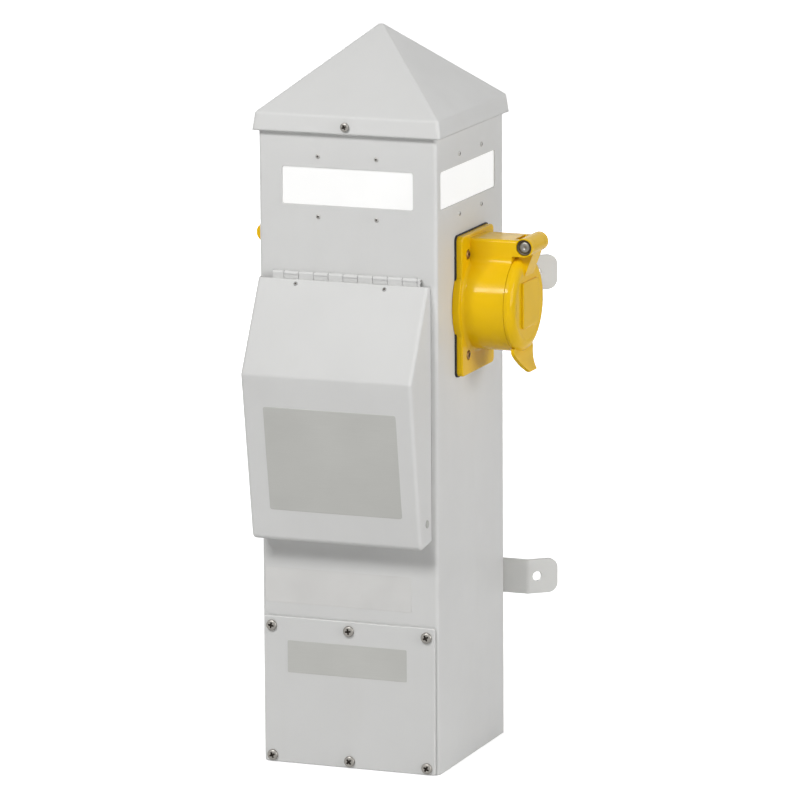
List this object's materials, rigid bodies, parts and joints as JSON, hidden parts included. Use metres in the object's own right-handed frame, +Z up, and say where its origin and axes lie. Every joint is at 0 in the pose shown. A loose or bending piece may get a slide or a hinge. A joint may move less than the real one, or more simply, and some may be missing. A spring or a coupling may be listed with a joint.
{
  "type": "dock power pedestal",
  "caption": "Square dock power pedestal with a pyramid cap, lit windows, a hinged breaker hood, lift-lid receptacle covers and rear mounting straps.",
  "frame": {"origin": "centre of the post's open lower end, on the plane of its rim", "axes": "+Z up along the post, front with the breaker hood towards -Y, deep receptacle cover towards +X"},
  "size_m": [0.253, 0.2157, 0.598],
  "materials": {
    "aluminium": "plain",
    "black_plastic": "moulded",
    "brass": "plain",
    "breaker_black": "moulded",
    "bulb": "opal",
    "cap_white": "satin white powder coat",
    "cover_white": "satin white powder coat",
    "galvanised": "zinc plated",
    "gasket": "closed-cell",
    "grey_metal": "grey enamel",
    "hinge_steel": "stainless",
    "hood_white": "satin white powder coat",
    "lens": "translucent opal",
    "post_white": "satin white powder coat",
    "screw_steel": "stainless",
    "strap_white": "satin white powder coat",
    "toggle_black": "moulded",
    "yellow": "glossy moulded"
  },
  "bodies": {
    "pedestal": {"breaker_left": "breaker_black", "breaker_right": "breaker_black", "breaker_tray": "galvanised", "cap_screws": "screw_steel", "dead_front_plate": "grey_metal", "dead_front_screws": "screw_steel", "ground_bar": "aluminium", "ground_screws": "screw_steel", "hinge_pin": "hinge_steel", "hinge_post_leaf": "hood_white", "hinge_post_rivets": "screw_steel", "lamp_bracket": "galvanised", "lamp_bracket_screws": "screw_steel", "lamp_bulb": "bulb", "lamp_socket": "black_plastic", "left_cover_screws": "screw_steel", "left_gasket": "gasket", "left_housing": "yellow", "left_lid_pin": "screw_steel", "left_lid_spring": "screw_steel", "left_receptacle": "black_plastic", "lens_back": "lens", "lens_front": "lens", "lens_left": "lens", "lens_right": "lens", "lens_screws": "screw_steel", "lower_strap": "strap_white", "post_shell": "post_white", "pyramid_cap": "cap_white", "right_cover_screws": "screw_steel", "right_gasket": "gasket", "right_housing": "yellow", "right_lid_pin": "screw_steel", "right_lid_spring": "screw_steel", "right_receptacle": "black_plastic", "service_cover": "cover_white", "service_gasket": "gasket", "service_screws": "screw_steel", "strap_bolts": "galvanised", "strap_nuts": "galvanised", "terminal_block": "black_plastic", "terminal_screws": "brass", "upper_strap": "strap_white"},
    "hood": {"breaker_hood": "hood_white", "hood_rivets": "screw_steel", "hinge_hood_leaf": "hood_white"},
    "toggle_left_lever": {"toggle_left": "toggle_black"},
    "toggle_right_lever": {"toggle_right": "toggle_black"},
    "right_lift_lid": {"right_lid": "yellow", "right_lid_seal": "gasket"},
    "left_lift_lid": {"left_lid": "yellow", "left_lid_seal": "gasket"}
  },
  "joints": [
    {"name": "hood_hinge", "type": "hinge", "parent": "pedestal", "child": "hood", "pos_m": [0, -0.0784, 0.405], "axis": [-1, 0, 0], "range_deg": [0, 140]},
    {"name": "left_breaker_toggle", "type": "hinge", "parent": "pedestal", "child": "toggle_left_lever", "pos_m": [-0.013, -0.079, 0.2916], "axis": [1, 0, 0], "range_deg": [0, 44]},
    {"name": "right_breaker_toggle", "type": "hinge", "parent": "pedestal", "child": "toggle_right_lever", "pos_m": [0.013, -0.079, 0.2916], "axis": [1, 0, 0], "range_deg": [0, 44]},
    {"name": "right_lid_hinge", "type": "hinge", "parent": "pedestal", "child": "right_lift_lid", "pos_m": [0.1284, 0, 0.4255], "axis": [0, -1, 0], "range_deg": [0, 110], "stiffness_Nm_per_rad": 0.02, "springref_deg": -57.3},
    {"name": "left_lid_hinge", "type": "hinge", "parent": "pedestal", "child": "left_lift_lid", "pos_m": [-0.0948, 0, 0.4255], "axis": [0, 1, 0], "range_deg": [0, 110], "stiffness_Nm_per_rad": 0.02, "springref_deg": -57.3}
  ]
}
